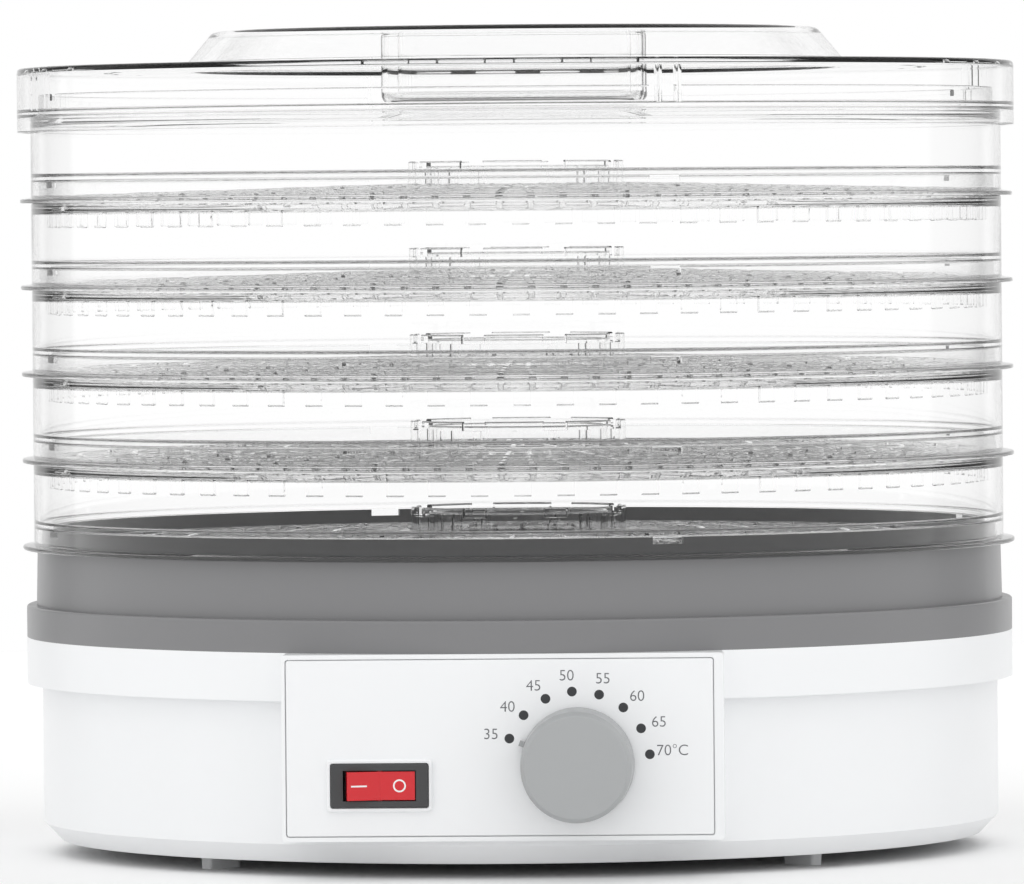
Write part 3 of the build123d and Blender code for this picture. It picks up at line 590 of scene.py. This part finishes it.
def ring_loops(x, z, inner, outer, steps=40):
    small, large = circle(x, z, inner, steps), circle(x, z, outer, steps)
    return [[small[k], large[k], large[(k + 1) % steps], small[(k + 1) % steps]] for k in range(steps)]


def numeral_mesh(text, x, z, height):
    """A number of the dial, centred on a point; height is that of a capital."""
    font = bpy.data.curves.new("numeral", "FONT")
    font.body = text
    font.size = height / 0.71
    font.align_x, font.align_y = "CENTER", "CENTER"
    font.offset = -0.012 * height
    font.resolution_u = 6
    holder = bpy.data.objects.new("numeral", font)
    bpy.context.scene.collection.objects.link(holder)
    bpy.context.view_layer.update()
    mesh = bpy.data.meshes.new_from_object(holder.evaluated_get(bpy.context.evaluated_depsgraph_get()))
    mesh.transform(Matrix.Translation((x, 0, z)) @ Matrix.Rotation(math.radians(90), 4, "X"))
    bpy.data.objects.remove(holder)
    return mesh


def place_knob():
    """The knob mirrored across its own middle, so that its pointer is beside the lowest number."""
    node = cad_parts["temperature_knob"]
    bm = bmesh.new()
    bm.from_mesh(node.data)
    across = Matrix.Translation((2 * KNOB_X, 0, 0)) @ Matrix.Scale(-1, 4, (1, 0, 0))
    bmesh.ops.transform(bm, matrix=across @ node.matrix_world, verts=bm.verts)
    bmesh.ops.reverse_faces(bm, faces=bm.faces)
    piece = new_object("dial_knob", bm, 30)
    paint(piece, knob_grey)
    settle_normals(piece)
    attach(piece, "knob")
    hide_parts("temperature_knob")


place_knob()
ink_dark = plastic("dial_ink", (0.03, 0.032, 0.035), 0.5, depth=0.0)
ink_grey = plastic("numeral_ink", (0.145, 0.15, 0.16), 0.5, depth=0.0)
ink_white = plastic("switch_ink", (0.85, 0.85, 0.85), 0.45, depth=0.0)

dots = []
for step in range(8):
    angle = math.radians(DIAL_START - DIAL_STEP * step)
    place = KNOB_X + DOT_RING_R * math.cos(angle), KNOB_Z + DOT_RING_R * math.sin(angle)
    dots.append(circle(*place, DOT_R))
print_on("control_panel", "dial_dots", flat_mesh("dial_dots", dots), ink_dark, "base")
labels = (
    ("35", 160.7, 28.3), ("40", 140.4, 27.9), ("45", 118.9, 27.7), ("50", 96.7, 27.5), ("55", 73.1, 27.5),
    ("60", 48.4, 27.9), ("65", 27.0, 28.3), ("70\u00b0C", 7.8, 29.6),
)
for text, bearing, reach in labels:
    angle = math.radians(bearing)
    place = KNOB_X + reach * MM * math.cos(angle), KNOB_Z + reach * MM * math.sin(angle)
    numeral = numeral_mesh(text, *place, 3.4 * MM)
    print_on("control_panel", f"dial_number_{text[:2]}", numeral, ink_grey, "base")

bar = [[
    (SWITCH_X - 8.6 * MM, SWITCH_Z - 0.25 * MM), (SWITCH_X - 3.8 * MM, SWITCH_Z - 0.25 * MM),
    (SWITCH_X - 3.8 * MM, SWITCH_Z + 0.25 * MM), (SWITCH_X - 8.6 * MM, SWITCH_Z + 0.25 * MM),
]]
print_on("switch_rocker", "switch_mark_on", flat_mesh("switch_mark_on", bar), ink_white, "rocker")
off_ring = ring_loops(SWITCH_X + 6.2 * MM, SWITCH_Z, 1.5 * MM, 2.0 * MM)
print_on("switch_rocker", "switch_mark_off", flat_mesh("switch_mark_off", off_ring), ink_white, "rocker")


# ------------------------------------------------------------------ stage, light and camera
FRONT_LIGHT, GAP_LIGHT, BACKDROP_LIGHT, TOP_LIGHT = 1.12, 0.35, 0.9, 1.25
LEFT_EDGE, RIGHT_EDGE, BACKDROP_HALF = -128, 117, 32  # bearings from the front, in degrees
FLOOR_R = 1.4


def build_world():
    """A studio seen by direction: bright in front and overhead, lit behind, darker gaps between them."""
    world = bpy.data.worlds.new("studio")
    world.use_nodes = True
    bpy.context.scene.world = world
    nodes, links = world.node_tree.nodes, world.node_tree.links

    def value(operation, first, second=0.0):
        node = nodes.new("ShaderNodeMath")
        node.operation = operation
        for socket, source in zip(node.inputs, (first, second)):
            if isinstance(source, float):
                socket.default_value = source
            else:
                links.new(source, socket)
        return node.outputs["Value"]

    def step(source, low, high, start=0.0, end=1.0):
        node = nodes.new("ShaderNodeMapRange")
        node.interpolation_type = "SMOOTHSTEP"
        links.new(source, node.inputs["Value"])
        for name, setting in (("From Min", low), ("From Max", high), ("To Min", start), ("To Max", end)):
            node.inputs[name].default_value = setting
        return node.outputs["Result"]

    place = nodes.new("ShaderNodeTexCoord")
    split = nodes.new("ShaderNodeSeparateXYZ")
    links.new(place.outputs["Generated"], split.inputs["Vector"])
    east, south = split.outputs["X"], value("MULTIPLY", split.outputs["Y"], -1.0)
    bearing = value("DEGREES", value("ARCTAN2", east, south))
    right = step(bearing, RIGHT_EDGE - 2, RIGHT_EDGE + 2, FRONT_LIGHT - GAP_LIGHT, 0.0)
    left = step(bearing, LEFT_EDGE - 2, LEFT_EDGE + 2, 0.0, 1.0)
    front = value("MULTIPLY", right, left)
    behind = step(value("ABSOLUTE", bearing), 180 - BACKDROP_HALF - 4, 180 - BACKDROP_HALF + 4, 0.0, 1.0)
    backdrop = value("MULTIPLY", behind, BACKDROP_LIGHT - GAP_LIGHT)
    around = value("ADD", value("ADD", front, GAP_LIGHT), backdrop)
    overhead = step(split.outputs["Z"], 0.45, 0.75)
    mix = nodes.new("ShaderNodeMix")
    links.new(overhead, mix.inputs["Factor"])
    links.new(around, mix.inputs["A"])
    mix.inputs["B"].default_value = TOP_LIGHT
    studio = mix.outputs["Result"]

    # what is looked at directly, or straight through the clear parts, is plain white
    path = nodes.new("ShaderNodeLightPath")
    inside = value("MULTIPLY", value("MINIMUM", path.outputs["Transmission Depth"], 1.0), 0.95)
    direct = value("MAXIMUM", path.outputs["Is Camera Ray"], path.outputs["Is Transmission Ray"])
    plain = value("MAXIMUM", direct, inside)
    final = nodes.new("ShaderNodeMix")
    links.new(plain, final.inputs["Factor"])
    links.new(studio, final.inputs["A"])
    final.inputs["B"].default_value = 1.0
    links.new(final.outputs["Result"], nodes["Background"].inputs["Strength"])
    nodes["Background"].inputs["Color"].default_value = (1, 1, 1, 1)


def build_stage():
    mat, nodes, links, shader = material("studio_floor")
    mottle = add_noise(nodes, links, 0.7, 2.0)
    ramp = add_ramp(nodes, links, mottle.outputs["Fac"], (0.90, 0.90, 0.90), (0.92, 0.92, 0.92))
    links.new(ramp.outputs["Color"], shader.inputs["Base Color"])
    shader.inputs["Roughness"].default_value = 0.6
    bm = bmesh.new()
    bmesh.ops.create_circle(bm, cap_ends=True, segments=128, radius=FLOOR_R)
    floor = new_object("studio_floor", bm)
    floor.location.z = cad_low.z
    paint(floor, mat)


def build_camera():
    """A long lens 3.1 m in front, two degrees to the right, at tray height and looking slightly down."""
    distance, height, azimuth = 3.1, 208.6 * MM, math.radians(2.0)
    aim = Vector((-2.0 * MM, 0, 131.6 * MM))
    data = bpy.data.cameras.new("camera")
    data.lens = 335.3
    data.clip_end = 200
    camera = bpy.data.objects.new("camera", data)
    bpy.context.scene.collection.objects.link(camera)
    camera.location = (distance * math.sin(azimuth), -distance * math.cos(azimuth), height)
    camera.rotation_mode = "QUATERNION"
    look = (aim - camera.location).to_track_quat("-Z", "Y")
    roll = Matrix.Rotation(math.radians(-0.5), 4, "Z").to_quaternion()
    camera.rotation_quaternion = look @ roll
    bpy.context.scene.camera = camera


build_world()
build_stage()
build_camera()

scene = bpy.context.scene
scene.view_settings.view_transform = "Standard"
scene.cycles.caustics_refractive = False
scene.cycles.caustics_reflective = False
scene.cycles.max_bounces = 32
scene.cycles.transmission_bounces = 32
scene.cycles.transparent_max_bounces = 48
